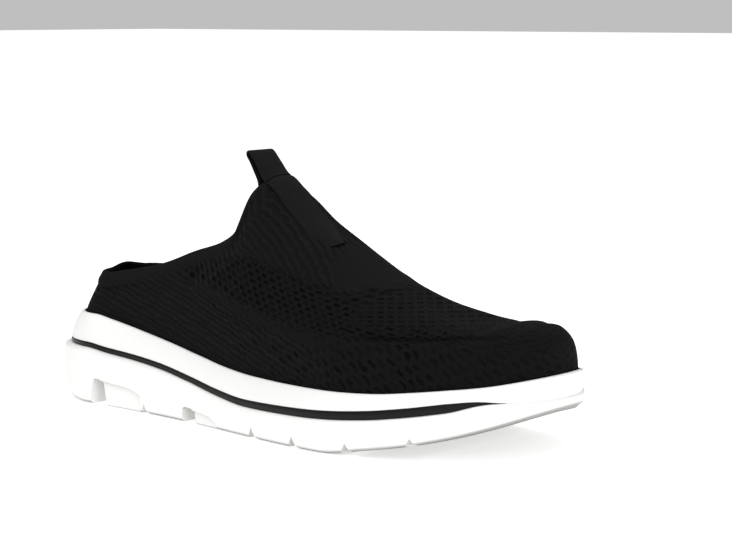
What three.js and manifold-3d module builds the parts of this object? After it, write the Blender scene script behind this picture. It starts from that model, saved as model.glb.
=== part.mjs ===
// A slip-on walking mule for the right foot: a knitted sock-like upper with a low closed
// heel, seated in a moulded foam unit sole with a dark stripe let into its side, an insole,
// and a webbing strap sewn down the tongue that ends in a pull loop.
// Millimetres. While it is built, X runs from the heel to the toe, +Y is the inner
// (big toe) side and Z is up from the floor.
import * as THREE from 'three';
import Module from 'manifold-3d';
import { mergeVertices } from 'three/addons/utils/BufferGeometryUtils.js';

const wasm = await Module();
wasm.setup();

// Driving dimensions of the sole
const soleLength = 290;
const ballWidth = 104;          // across the sole at the ball of the foot
const heelWallHeight = 42;      // floor to the sole's rim at the heel
const heelBedHeight = 27;       // floor to the bed that the insole lies on, at the heel
const toeSpring = 18;           // how far the toe end of the sole stands off the floor
const seatInset = 9.4;          // the upper's foot, in from the widest line of the sole, at the heel
const rimThickness = 1.6;
const stripeHeight = 3.1;
const stripeDepth = 1.8;
const stripeEnd = 0.970;        // where the stripe runs out, as a share of the sole's length
const stripeTaper = 0.10;       // over which share of the sole's length it thins out
const heelBulge = 3.6;          // how far the wall below the stripe stands out past the wall above
const edgeRound = 3.0;          // rounding of the sole's bottom edge

// Driving dimensions of the upper
const instepHeight = 112.5;     // floor to the top of the tongue
const knitWall = 2.4;
const collarWall = 4.2;         // padded top edge
const collarBand = 7;           // height of the ribbed band along the top edge
const bandStep = 0.6;           // how far that band stands out of the wall
const heelRimHeight = 65;       // floor to the top edge round the heel
const fit = 0.45;               // gap between pieces that lie against each other
const seatFit = 0.75;           // gap between the upper and the seat's leaning wall

// Driving dimensions of the insole and the strap
const insoleThickness = 4.5;
const strapWidth = 17.5;
const strapAcross = -0.016;     // its middle line, in shares of the ball width from the heel's middle
const strapThickness = 1.3;
const strapStart = 0.590;       // where its sewn end lies, as a share of the sole's length
const strapTuck = 14;           // length of the end sewn inside the tongue
const loopReach = 10.8;         // how far the pull loop stands back from the tongue's edge
const loopRise = 11.7;          // and how far it rises above it

// How finely the shapes are drawn
const toeSpokes = 9;
const vampSpokes = 12;
const quarterSpokes = 14;
const heelSpokes = 8;
const wallRows = 11;
const strapColumns = 4;

// Plan of the sole. `at` is a share of its length from the heel; the outer and inner half
// widths are shares of the ball width, measured from a middle line that swings towards the
// big toe by `swing`. The ends are rounded off by `heelRound` and `toeRound`.
const PLAN = [
  { at: 0.00, outer: 0.360, inner: 0.354, swing: 0.000 },
  { at: 0.14, outer: 0.361, inner: 0.356, swing: 0.000 },
  { at: 0.26, outer: 0.375, inner: 0.356, swing: 0.000 },
  { at: 0.38, outer: 0.409, inner: 0.343, swing: 0.005 },
  { at: 0.50, outer: 0.471, inner: 0.367, swing: 0.014 },
  { at: 0.60, outer: 0.527, inner: 0.405, swing: 0.028 },
  { at: 0.69, outer: 0.558, inner: 0.434, swing: 0.043 },
  { at: 0.76, outer: 0.558, inner: 0.438, swing: 0.053 },
  { at: 0.87, outer: 0.558, inner: 0.438, swing: 0.068 },
  { at: 1.00, outer: 0.558, inner: 0.438, swing: 0.077 },
];
const heelRound = { reach: 0.138, power: 2.05 };
const toeRound = { outerReach: 0.320, innerReach: 0.276, power: 2.18 };

// Heights along the sole, each a share of its own size: `lift` of the toe spring, `rim` and
// `stripe` (its middle) of the heel wall height, `band` of the stripe's height, `bed` of the
// heel bed height, `bulge` of the heel's bulge and `seat` of the seat's inset.
const HEIGHTS = [
  { at: 0.00, lift: 0.48, rim: 0.993, stripe: 0.666, band: 0.85, bed: 1.000, bulge: 1.00, seat: 0.62 },
  { at: 0.06, lift: 0.16, rim: 1.023, stripe: 0.676, band: 0.85, bed: 1.000, bulge: 1.00, seat: 0.66 },
  { at: 0.12, lift: 0.00, rim: 1.024, stripe: 0.678, band: 0.87, bed: 0.995, bulge: 0.95, seat: 0.80 },
  { at: 0.17, lift: 0.00, rim: 0.977, stripe: 0.645, band: 0.90, bed: 0.975, bulge: 0.90, seat: 0.93 },
  { at: 0.24, lift: 0.00, rim: 0.899, stripe: 0.614, band: 0.94, bed: 0.930, bulge: 0.80, seat: 1.00 },
  { at: 0.31, lift: 0.00, rim: 0.818, stripe: 0.565, band: 0.97, bed: 0.860, bulge: 0.70, seat: 1.00 },
  { at: 0.38, lift: 0.00, rim: 0.732, stripe: 0.487, band: 1.00, bed: 0.780, bulge: 0.60, seat: 0.98 },
  { at: 0.45, lift: 0.00, rim: 0.661, stripe: 0.406, band: 1.06, bed: 0.700, bulge: 0.55, seat: 0.95 },
  { at: 0.52, lift: 0.00, rim: 0.627, stripe: 0.361, band: 1.13, bed: 0.630, bulge: 0.55, seat: 0.92 },
  { at: 0.60, lift: 0.00, rim: 0.621, stripe: 0.372, band: 1.20, bed: 0.590, bulge: 0.55, seat: 0.88 },
  { at: 0.69, lift: 0.00, rim: 0.628, stripe: 0.400, band: 1.27, bed: 0.570, bulge: 0.55, seat: 0.82 },
  { at: 0.76, lift: 0.17, rim: 0.652, stripe: 0.444, band: 1.32, bed: 0.580, bulge: 0.50, seat: 0.74 },
  { at: 0.83, lift: 0.37, rim: 0.701, stripe: 0.511, band: 1.34, bed: 0.640, bulge: 0.45, seat: 0.62 },
  { at: 0.89, lift: 0.60, rim: 0.753, stripe: 0.582, band: 1.34, bed: 0.730, bulge: 0.40, seat: 0.49 },
  { at: 0.94, lift: 0.85, rim: 0.799, stripe: 0.641, band: 1.34, bed: 0.800, bulge: 0.35, seat: 0.39 },
  { at: 1.00, lift: 1.22, rim: 0.884, stripe: 0.640, band: 1.34, bed: 0.870, bulge: 0.30, seat: 0.31 },
];

// Sections of the last inside the upper. `top` is the height of the ridge as a share of the
// instep height (behind the tongue it is the height at which the section would close),
// `ridge` its place across in shares of the ball width. A large `rise` keeps the wall upright
// for longer, and a large `full` makes the top squarer.
const LAST = [
  { at: 0.00, top: 0.910, ridge: 0.000, rise: 1.42, full: 0.48 },
  { at: 0.07, top: 0.920, ridge: 0.000, rise: 1.50, full: 0.54 },
  { at: 0.14, top: 0.930, ridge: 0.000, rise: 1.60, full: 1.15 },
  { at: 0.26, top: 0.960, ridge: 0.004, rise: 1.50, full: 2.20 },
  { at: 0.36, top: 0.985, ridge: 0.016, rise: 1.40, full: 2.80 },
  { at: 0.45, top: 1.000, ridge: 0.029, rise: 1.38, full: 3.00 },
  { at: 0.49, top: 0.930, ridge: 0.048, rise: 1.36, full: 3.05 },
  { at: 0.53, top: 0.840, ridge: 0.067, rise: 1.40, full: 3.00 },
  { at: 0.57, top: 0.770, ridge: 0.085, rise: 1.49, full: 2.96 },
  { at: 0.62, top: 0.688, ridge: 0.096, rise: 1.65, full: 2.92 },
  { at: 0.68, top: 0.601, ridge: 0.096, rise: 1.90, full: 3.05 },
  { at: 0.76, top: 0.524, ridge: 0.088, rise: 2.40, full: 3.60 },
  { at: 0.85, top: 0.489, ridge: 0.080, rise: 2.95, full: 3.90 },
  { at: 0.93, top: 0.524, ridge: 0.075, rise: 3.65, full: 3.20 },
  { at: 1.00, top: 0.575, ridge: 0.072, rise: 4.80, full: 3.65 },
];

// The top edge of the upper, from the middle of the tongue's edge (0) to the side of the
// heel (1): `run` is a share of the sole's length, and `height` a share of the way from the
// heel rim's height to the tongue's.
const TOPLINE = [
  { at: 0.00, run: 0.452, height: 1.00 },
  { at: 0.08, run: 0.449, height: 0.93 },
  { at: 0.16, run: 0.446, height: 0.82 },
  { at: 0.26, run: 0.443, height: 0.66 },
  { at: 0.36, run: 0.436, height: 0.50 },
  { at: 0.48, run: 0.402, height: 0.37 },
  { at: 0.62, run: 0.340, height: 0.25 },
  { at: 0.78, run: 0.262, height: 0.085 },
  { at: 1.00, run: 0.138, height: -0.070 },
];
const throatFoot = 0.575;       // where the spoke that ends at the tongue's edge starts
const toeAxis = 0.785;          // where the fan of spokes round the toe is centred
const heelAxis = 0.138;         // and the one round the heel

// The pull loop from the tongue's edge over its fold and down again, in shares of its reach
// and rise.
const LOOP = [
  { back: 0.10, up: 0.14 },
  { back: 0.40, up: 0.45 },
  { back: 0.70, up: 0.77 },
  { back: 0.87, up: 0.94 },
  { back: 0.98, up: 1.00 },
  { back: 1.02, up: 0.89 },
  { back: 0.86, up: 0.63 },
  { back: 0.60, up: 0.33 },
  { back: 0.38, up: 0.05 },
  { back: 0.32, up: -0.25 },
];

// Its sewn end inside the tongue: how far forward of the edge, in shares of its length, and
// how far below the ridge, in shares of the padded edge's thickness.
const TUCK = [
  { along: -0.25, below: 1.25 },
  { along: -0.10, below: 1.62 },
  { along: 0.15, below: 1.60 },
  { along: 0.55, below: 1.40 },
  { along: 1.00, below: 1.35 },
];

// Cuts up from the floor that cross the whole sole: shares of its length for the middle and
// the width, and the height above the tread in millimetres. `square` is how blunt the top is.
const CHANNELS = [
  { at: 0.157, width: 0.036, height: 12.8, square: 0.60 },
  { at: 0.272, width: 0.015, height: 4.8, square: 0.15 },
  { at: 0.381, width: 0.031, height: 7.4, square: 0.80 },
  { at: 0.541, width: 0.021, height: 5.0, square: 0.15 },
  { at: 0.634, width: 0.021, height: 5.0, square: 0.15 },
  { at: 0.736, width: 0.019, height: 4.2, square: 0.15 },
  { at: 0.838, width: 0.017, height: 3.6, square: 0.15 },
];

// Blocks of the tread that are set back from the wall above them.
const SET_BACK = [
  { from: 0.157, to: 0.262, near: 12.4, far: 10.4, depth: 1.7 },
  { from: 0.381, to: 0.452, near: 6.8, far: 5.1, depth: 1.5 },
];

const clamp01 = (v) => Math.min(1, Math.max(0, v));
const ease = (v) => clamp01(v) ** 2 * (3 - 2 * clamp01(v));

// A smooth curve through one column of a table against its column `at`, with slopes that
// never overshoot a row.
function curveThrough(rows, name) {
  const x = rows.map((row) => row.at);
  const y = rows.map((row) => row[name]);
  const secant = x.slice(1).map((v, k) => (y[k + 1] - y[k]) / (v - x[k]));
  const slope = x.map((_, k) => {
    if (k === 0) return secant[0];
    if (k === x.length - 1) return secant[k - 1];
    if (secant[k - 1] * secant[k] <= 0) return 0;
    const before = 2 * (x[k + 1] - x[k]) + (x[k] - x[k - 1]);
    const after = (x[k + 1] - x[k]) + 2 * (x[k] - x[k - 1]);
    return (before + after) / (before / secant[k - 1] + after / secant[k]);
  });
  return (at) => {
    const v = Math.min(x[x.length - 1], Math.max(x[0], at));
    let k = 0;
    while (k < x.length - 2 && v > x[k + 1]) k += 1;
    const h = x[k + 1] - x[k];
    const t = (v - x[k]) / h;
    return (1 + 2 * t) * (1 - t) ** 2 * y[k] + t * (1 - t) ** 2 * h * slope[k]
      + t * t * (3 - 2 * t) * y[k + 1] + t * t * (t - 1) * h * slope[k + 1];
  };
}
const curvesOf = (rows) => Object.fromEntries(
  Object.keys(rows[0]).filter((name) => name !== 'at').map((name) => [name, curveThrough(rows, name)]));
const plan = curvesOf(PLAN);
const heights = curvesOf(HEIGHTS);
const last = curvesOf(LAST);
const topline = curvesOf(TOPLINE);

const middle = (x) => ballWidth * plan.swing(x / soleLength);
const underside = (x) => toeSpring * heights.lift(x / soleLength);
const rimHeight = (x) => heelWallHeight * heights.rim(x / soleLength);
const stripeMiddle = (x) => heelWallHeight * heights.stripe(x / soleLength);
const bedHeight = (x) => heelBedHeight * heights.bed(x / soleLength);
const ridgeHeight = (x) => instepHeight * last.top(x / soleLength);
const ridgeAcross = (x) => ballWidth * last.ridge(x / soleLength);
const lastInset = (x) => seatInset * heights.seat(x / soleLength);

// Half width of the sole on one side (-1 outer, +1 inner) of its middle line.
function halfWidth(side, x) {
  const share = clamp01(x / soleLength);
  const toeReach = side < 0 ? toeRound.outerReach : toeRound.innerReach;
  const intoHeel = clamp01(1 - share / heelRound.reach);
  const intoToe = clamp01((share - 1 + toeReach) / toeReach);
  return ballWidth * (side < 0 ? plan.outer(share) : plan.inner(share))
    * (1 - intoHeel ** heelRound.power) ** (1 / heelRound.power)
    * (1 - intoToe ** toeRound.power) ** (1 / toeRound.power);
}

// Distance from a point on the middle line to the sole's widest line, along a direction.
function reachToEdge(origin, direction, side) {
  let near = 0;
  let far = soleLength;
  for (let k = 0; k < 40; k += 1) {
    const mid = (near + far) / 2;
    const x = origin.x + mid * direction.x;
    const across = side * (origin.y + mid * direction.y - middle(x));
    if (x > 0 && x < soleLength && across < halfWidth(side, x)) near = mid;
    else far = mid;
  }
  return near;
}

// The spokes: upright planes that fan round the toe and the heel and cross the sides square.
// Every piece is drawn along them, so neighbours keep their gap. They run from the toe down
// the outer side, round the heel and back along the inner side.
function layOutSpokes() {
  const half = [];
  for (let k = 0; k < toeSpokes; k += 1) half.push({ zone: 'toe', axis: toeAxis, turn: k / toeSpokes });
  for (let k = 0; k < vampSpokes; k += 1) {
    half.push({ zone: 'side', axis: toeAxis + ((throatFoot - toeAxis) * k) / vampSpokes, turn: 1 });
  }
  for (let k = 0; k <= quarterSpokes; k += 1) {
    half.push({ zone: 'side', axis: throatFoot + ((heelAxis - throatFoot) * k) / quarterSpokes, turn: 1 });
  }
  for (let k = 1; k <= heelSpokes; k += 1) half.push({ zone: 'heel', axis: heelAxis, turn: 1 - k / heelSpokes });
  const mirrored = half.slice(1, -1).reverse();
  const onSide = (side) => (spoke) => {
    const x = spoke.axis * soleLength;
    const origin = new THREE.Vector2(x, middle(x));
    const ahead = { toe: 1, side: 0, heel: -1 }[spoke.zone] * Math.cos((spoke.turn * Math.PI) / 2);
    const direction = new THREE.Vector2(ahead, side * Math.sin((spoke.turn * Math.PI) / 2));
    return { ...spoke, side, origin, direction, reach: reachToEdge(origin, direction, side) };
  };
  return [...half.map(onSide(-1)), ...mirrored.map(onSide(1))];
}
const spokes = layOutSpokes();
const xAlong = (spoke, r) => spoke.origin.x + r * spoke.direction.x;
const pointAlong = (spoke, r, z) => new THREE.Vector3(xAlong(spoke, r), spoke.origin.y + r * spoke.direction.y, z);

// A point of the last, `depth` below its surface. `girth` runs from 0 at the bed to 1 at the
// ridge. The sides take any x; the toe and heel sections turn about their axis.
function lastPoint(spoke, girth, x, depth) {
  const turning = spoke.zone !== 'side';
  const tip = spoke.zone === 'toe' ? 1 : 0;
  const share = turning ? tip + (spoke.axis - tip) * ease(spoke.turn) : x / soleLength;
  const out = Math.cos((girth * Math.PI) / 2) ** (2 / last.full(share));
  const up = Math.sin((girth * Math.PI) / 2) ** (2 / last.rise(share));
  if (turning) {
    const reach = spoke.reach - lastInset(xAlong(spoke, spoke.reach)) - depth;
    const foot = bedHeight(xAlong(spoke, reach)) + fit;
    const top = ridgeHeight(spoke.zone === 'toe' ? xAlong(spoke, reach * out) : spoke.origin.x) - depth;
    const p = pointAlong(spoke, reach * out, foot + (top - foot) * up);
    p.y += (ridgeAcross(spoke.origin.x) - spoke.origin.y) * (1 - out);
    return p;
  }
  const foot = bedHeight(x) + fit;
  const footAcross = middle(x) + spoke.side * (halfWidth(spoke.side, x) - lastInset(x) - depth);
  const across = ridgeAcross(x) + (footAcross - ridgeAcross(x)) * out;
  return new THREE.Vector3(x, across, foot + (ridgeHeight(x) - depth - foot) * up);
}

// Girth at which the last reaches a height above the floor.
function girthAtHeight(spoke, height, x, depth) {
  let low = 0;
  let high = 1;
  for (let k = 0; k < 30; k += 1) {
    const mid = (low + high) / 2;
    if (lastPoint(spoke, mid, x, depth).z < height) low = mid;
    else high = mid;
  }
  return (low + high) / 2;
}
const lastAtHeight = (spoke, height, depth) => (
  lastPoint(spoke, girthAtHeight(spoke, height, spoke.origin.x, depth), spoke.origin.x, depth));

// Where a spoke of the upper ends: on the ridge in front of the tongue's edge, and on the
// top edge behind it.
const toplineHeight = (back) => (
  heelRimHeight + (ridgeHeight(topline.run(0) * soleLength) - heelRimHeight) * topline.height(back));
function spokeEnd(spoke) {
  if (spoke.zone === 'toe') return { x: spoke.origin.x, girth: 1, open: false };
  if (spoke.zone === 'heel') {
    const height = toplineHeight(1) + (heelRimHeight - toplineHeight(1)) * ease(1 - spoke.turn);
    return { x: spoke.origin.x, girth: girthAtHeight(spoke, height, spoke.origin.x, 0), open: true };
  }
  const back = (throatFoot - spoke.axis) / (throatFoot - heelAxis);
  if (back < -1e-6) {
    const start = topline.run(0) * soleLength + collarBand;
    const forward = ((spoke.axis - throatFoot) / (toeAxis - throatFoot)) ** 1.35;
    return { x: start + (toeAxis * soleLength - start) * forward, girth: 1, open: false };
  }
  const x = topline.run(clamp01(back)) * soleLength;
  return { x, girth: back < 1e-6 ? 1 : girthAtHeight(spoke, toplineHeight(back), x, 0), open: true };
}

// Adds the two triangles of a quad, leaving out a triangle whose corners coincide.
function addQuad(faces, a, b, c, d) {
  if (a !== b && b !== c && a !== c) faces.push(a, b, c);
  if (a !== c && c !== d && a !== d) faces.push(a, c, d);
}

function geometryOf(points, faces) {
  const geometry = new THREE.BufferGeometry();
  geometry.setAttribute('position', new THREE.Float32BufferAttribute(points.flatMap((p) => p.toArray()), 3));
  geometry.setIndex(faces);
  return geometry;
}

// A surface through a row of points on every spoke, joined where points coincide.
// `joins(a, b, j)` says whether strip j between two neighbouring spokes is drawn, and the
// first and last rows are capped where the spokes do not run all the way round.
function solidThrough(rings, wraps, joins) {
  const points = [];
  const faces = [];
  const known = new Map();
  const idOf = (p) => {
    const key = p.toArray().map((v) => Math.round(v * 500)).join();
    if (!known.has(key)) {
      known.set(key, points.length);
      points.push(p);
    }
    return known.get(key);
  };
  const ids = rings.map((ring) => ring.map(idOf));
  const pairs = wraps ? ids.length : ids.length - 1;
  for (let k = 0; k < pairs; k += 1) {
    const next = (k + 1) % ids.length;
    for (let j = 0; j < ids[k].length - 1; j += 1) {
      if (joins(k, next, j)) addQuad(faces, ids[k][j], ids[k][j + 1], ids[next][j + 1], ids[next][j]);
    }
  }
  if (!wraps) {
    const first = ids[0];
    const final = ids[ids.length - 1];
    for (let j = 1; j < first.length - 2; j += 1) {
      faces.push(first[0], first[j + 1], first[j]);
      faces.push(final[0], final[j], final[j + 1]);
    }
  }
  return geometryOf(points, faces);
}
const always = () => true;

function toManifold(geometry) {
  geometry.deleteAttribute('normal');
  geometry.deleteAttribute('uv');
  const welded = mergeVertices(geometry, 1e-4);
  const vertProperties = new Float32Array(welded.attributes.position.array);
  const triVerts = new Uint32Array(welded.index.array);
  return new wasm.Manifold(new wasm.Mesh({ numProp: 3, vertProperties, triVerts }));
}
function fromManifold(solid) {
  const mesh = solid.getMesh();
  const geometry = new THREE.BufferGeometry();
  const positions = [];
  for (let v = 0; v < mesh.vertProperties.length; v += mesh.numProp) {
    positions.push(...mesh.vertProperties.slice(v, v + 3));
  }
  geometry.setAttribute('position', new THREE.Float32BufferAttribute(positions, 3));
  geometry.setIndex(Array.from(mesh.triVerts));
  return geometry;
}

// Upper: inner skin, outer skin with the proud band, and the rolled top edge. In front of the
// tongue's edge the spokes end on the ridge, where the two sides share their points.
function upperRing(spoke) {
  const end = spokeEnd(spoke);
  const footX = spoke.axis * soleLength;
  const pointAt = (t, depth) => lastPoint(spoke, end.girth * t, footX + (end.x - footX) * t ** 1.5, depth);
  const fine = Array.from({ length: 61 }, (_, k) => pointAt(k / 60, 0));
  const lengths = [0];
  fine.slice(1).forEach((p, k) => lengths.push(lengths[k] + p.distanceTo(fine[k])));
  const atLength = (length) => {
    let k = 0;
    while (k < 59 && lengths[k + 1] < length) k += 1;
    return (k + clamp01((length - lengths[k]) / (lengths[k + 1] - lengths[k]))) / 60;
  };
  const wallLength = lengths[60] - (end.open ? collarBand : 0);
  const stations = Array.from({ length: wallRows }, (_, k) => atLength((wallLength * k) / (wallRows - 1)));
  const outer = stations.map((t) => pointAt(t, 0));
  const inner = stations.map((t) => pointAt(t, knitWall)).reverse();
  if (!end.open) {
    const ridge = outer[wallRows - 1];
    return [...inner, ...outer, ridge, ridge, ridge, inner[0], inner[0]];
  }
  const outerEdge = pointAt(1, -bandStep);
  const innerEdge = pointAt(1, collarWall);
  const upwards = end.girth < 1 ? pointAt(1, 0).sub(pointAt(0.97, 0)).normalize() : new THREE.Vector3(-1, 0, 0);
  const crest = outerEdge.clone().lerp(innerEdge, 0.45).addScaledVector(upwards, 0.3 * collarWall);
  const stepTop = pointAt(atLength(wallLength + bandStep), -bandStep);
  return [...inner, ...outer, stepTop, outerEdge, crest, innerEdge, inner[0]];
}
const isOpen = spokes.map((spoke) => spokeEnd(spoke).open);
const rollStrip = 2 * wallRows + 1;
const upperJoins = (a, b, strip) => (isOpen[a] && isOpen[b]) || strip < rollStrip || strip > rollStrip + 1;

// Sole: underside, wall with the groove for the stripe, rim, the wall of the seat that the
// upper stands in, and the bed.
function wallLevels(spoke) {
  const x = xAlong(spoke, spoke.reach);
  const present = ease((stripeEnd * soleLength - x) / (stripeTaper * soleLength));
  const halfBand = (present * stripeHeight * heights.band(x / soleLength)) / 2;
  return {
    present,
    floor: underside(x),
    rim: rimHeight(x),
    low: stripeMiddle(x) - halfBand,
    high: stripeMiddle(x) + halfBand,
    bulge: heelBulge * heights.bulge(x / soleLength),
    grooved: heelBulge * heights.bulge(x / soleLength) + present * stripeDepth,
  };
}
function soleRing(spoke) {
  const level = wallLevels(spoke);
  const onWall = (inset, z) => pointAlong(spoke, spoke.reach - inset, z);
  const onTread = (r) => pointAlong(spoke, r, underside(xAlong(spoke, r)));
  const seatRim = lastAtHeight(spoke, level.rim, -seatFit);
  const seatFoot = lastPoint(spoke, 0, spoke.origin.x, -fit);
  seatFoot.z -= fit;
  const centre = new THREE.Vector2(seatRim.x, seatRim.y).distanceTo(spoke.origin);
  const rim = spoke.reach - centre - rimThickness;
  const belly = level.bulge + 0.4 * (rim - level.bulge);
  const onBed = (share) => {
    const p = pointAlong(spoke, 0, 0).lerp(seatFoot, share);
    p.z = bedHeight(p.x);
    return p;
  };
  return [
    onTread(0),
    onTread(0.5 * spoke.reach),
    onTread(spoke.reach - 1.25 * edgeRound),
    onWall(0.5 * edgeRound, level.floor + 0.3 * edgeRound),
    onWall(0.2 * edgeRound, level.floor + edgeRound),
    onWall(0, level.floor + 0.6 * (level.low - level.floor)),
    onWall(0.25 * level.bulge, level.low - 1.6),
    onWall(0.85 * level.bulge, level.low),
    onWall(level.grooved, level.low),
    onWall(level.grooved, level.high),
    onWall(level.bulge, level.high),
    onWall(belly, level.high + 0.55 * (level.rim - level.high)),
    onWall(rim - 0.3, level.rim - 0.7 * rimThickness),
    onWall(rim + 0.35 * rimThickness, level.rim),
    seatRim,
    lastAtHeight(spoke, (level.rim + seatFoot.z) / 2, -seatFit),
    seatFoot,
    onBed(0.6),
    onBed(0),
  ];
}

// Side stripe: a band laid in the groove, a little proud of the wall above it.
function stripeRing(spoke) {
  const level = wallLevels(spoke);
  const corner = (inset, z) => pointAlong(spoke, spoke.reach - inset, z);
  const deep = level.grooved - fit;
  const face = level.bulge - 0.1 * level.present * stripeDepth;
  return [
    corner(deep, level.low + fit),
    corner(face, level.low + fit),
    corner(face, level.high - fit),
    corner(deep, level.high - fit),
    corner(deep, level.low + fit),
  ];
}

// Insole: a foam sheet on the bed inside the upper, its edge curled up round the heel.
function insoleRing(spoke) {
  const depth = knitWall + fit;
  const foot = lastPoint(spoke, 0, spoke.origin.x, depth);
  const curl = insoleThickness * (0.2 + 0.6 * ease(1 - foot.x / (0.5 * soleLength)));
  const onSheet = (share, rise) => {
    const p = pointAlong(spoke, 0, 0).lerp(foot, share);
    p.z = bedHeight(p.x) + fit + rise;
    return p;
  };
  return [
    onSheet(0, 0),
    onSheet(0.6, 0),
    foot,
    lastAtHeight(spoke, foot.z + insoleThickness + curl, depth),
    onSheet(0.9, insoleThickness + 0.25 * curl),
    onSheet(0.6, insoleThickness),
    onSheet(0, insoleThickness),
  ];
}

// Height of the last over a point of the plan near the ridge.
function lastHeight(x, y, depth) {
  const side = y < ridgeAcross(x) ? -1 : 1;
  const footAcross = middle(x) + side * (halfWidth(side, x) - lastInset(x) - depth);
  const out = Math.abs((y - ridgeAcross(x)) / (footAcross - ridgeAcross(x)));
  const foot = bedHeight(x) + fit;
  const share = x / soleLength;
  return foot + (ridgeHeight(x) - depth - foot) * (1 - out ** last.full(share)) ** (1 / last.rise(share));
}

// Pull strap: one length of webbing that lies on the ridge up to the tongue's edge, folds
// back as a loop over the opening and is sewn in under the edge.
function strapStations() {
  const edge = topline.run(0) * soleLength;
  const start = strapStart * soleLength;
  const half = strapThickness / 2;
  const stops = spokes.filter((spoke) => spoke.side < 0 && spoke.zone === 'side').map((spoke) => spokeEnd(spoke))
    .filter((end) => end.girth === 1).map((end) => end.x);
  const heightAt = (x) => lastHeight(x, strapAcross * ballWidth, 0);
  const stretched = (x) => {
    const k = stops.findIndex((stop) => stop <= x + 1e-6);
    const share = (x - stops[k]) / (stops[k - 1] - stops[k]);
    return heightAt(stops[k]) + (heightAt(stops[k - 1]) - heightAt(stops[k])) * share;
  };
  const onVamp = [start, ...stops.filter((stop) => stop < start - 2)].map((x) => {
    const overBand = bandStep * ease((edge + 1.8 * collarBand - x) / (0.6 * collarBand));
    const slope = (heightAt(x + 1) - heightAt(x - 1)) / 2;
    const lift = (2.6 * fit + overBand + half) * Math.hypot(1, slope);
    return { x, z: (x < start ? heightAt(x) : stretched(x)) + lift, over: x, depth: 0, drape: 1 };
  });
  const corner = onVamp[onVamp.length - 1];
  const loop = LOOP.map((row) => ({
    x: edge - row.back * loopReach,
    z: corner.z + row.up * loopRise,
    over: edge,
    depth: 0,
    drape: 1 - ease(row.up * 1.5),
  }));
  const tuck = TUCK.map((row) => {
    const over = edge + Math.max(0, row.along) * strapTuck;
    const slope = row.along > 0 ? (heightAt(over + 1) - heightAt(over - 1)) / 2 : 0;
    const z = heightAt(over) - row.below * collarWall * Math.hypot(1, slope);
    return { x: edge + row.along * strapTuck, z, over, depth: collarWall, drape: 1 };
  });
  return [...onVamp, ...loop, ...tuck];
}
function strapRings() {
  const stations = strapStations();
  return stations.map((station, k) => {
    const before = stations[Math.max(0, k - 1)];
    const after = stations[Math.min(stations.length - 1, k + 1)];
    const along = new THREE.Vector2(after.x - before.x, after.z - before.z).normalize();
    const pointAt = (share, lift) => {
      const y = strapAcross * ballWidth + share * strapWidth;
      const drop = station.drape * (lastHeight(station.over, y, station.depth)
        - lastHeight(station.over, strapAcross * ballWidth, station.depth));
      return new THREE.Vector3(station.x + lift * along.y, y, station.z + drop - lift * along.x);
    };
    const shares = Array.from({ length: strapColumns + 1 }, (_, j) => j / strapColumns - 0.5);
    const top = shares.map((share) => pointAt(share, strapThickness / 2));
    const bottom = shares.map((share) => pointAt(share, -strapThickness / 2)).reverse();
    return [...top, ...bottom, top[0]];
  });
}

// Cuts in the tread.
function channelCutter(row) {
  const x = row.at * soleLength;
  const tread = underside(x);
  const half = (row.width * soleLength) / 2;
  const shape = new THREE.Shape([
    new THREE.Vector2(-half, tread - 3),
    new THREE.Vector2(half, tread - 3),
    new THREE.Vector2(half, tread),
    new THREE.Vector2(half * (0.35 + 0.65 * row.square), tread + 0.55 * row.height),
    new THREE.Vector2(half * row.square, tread + 0.9 * row.height),
    new THREE.Vector2(half * row.square * 0.5, tread + row.height),
    new THREE.Vector2(-half * row.square * 0.5, tread + row.height),
    new THREE.Vector2(-half * row.square, tread + 0.9 * row.height),
    new THREE.Vector2(-half * (0.35 + 0.65 * row.square), tread + 0.55 * row.height),
    new THREE.Vector2(-half, tread),
  ]);
  const geometry = new THREE.ExtrudeGeometry(shape, { depth: 2 * ballWidth, bevelEnabled: false });
  geometry.rotateX(Math.PI / 2);
  geometry.translate(x, ballWidth, 0);
  return toManifold(geometry);
}
function setBackCutter(row, side) {
  const from = row.from * soleLength;
  const to = row.to * soleLength;
  const wallAt = (x) => middle(x) + side * (halfWidth(side, x) - row.depth);
  const beyond = side * ballWidth;
  const corners = [
    [from, wallAt(from), row.near], [to, wallAt(to), row.far], [to, wallAt(to), -2], [from, wallAt(from), -2],
    [from, beyond, row.near], [to, beyond, row.far], [to, beyond, -2], [from, beyond, -2],
  ].map((c) => new THREE.Vector3(...c));
  const faces = [];
  const quads = [[0, 1, 2, 3], [7, 6, 5, 4], [0, 4, 5, 1], [1, 5, 6, 2], [2, 6, 7, 3], [3, 7, 4, 0]];
  quads.forEach((q) => addQuad(faces, ...(side < 0 ? q : [...q].reverse())));
  return toManifold(geometryOf(corners, faces));
}

function soleGeometry() {
  let solid = toManifold(solidThrough(spokes.map(soleRing), true, always));
  CHANNELS.forEach((row) => { solid = solid.subtract(channelCutter(row)); });
  SET_BACK.forEach((row) => {
    [-1, 1].forEach((side) => { solid = solid.subtract(setBackCutter(row, side)); });
  });
  return fromManifold(solid);
}

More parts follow.
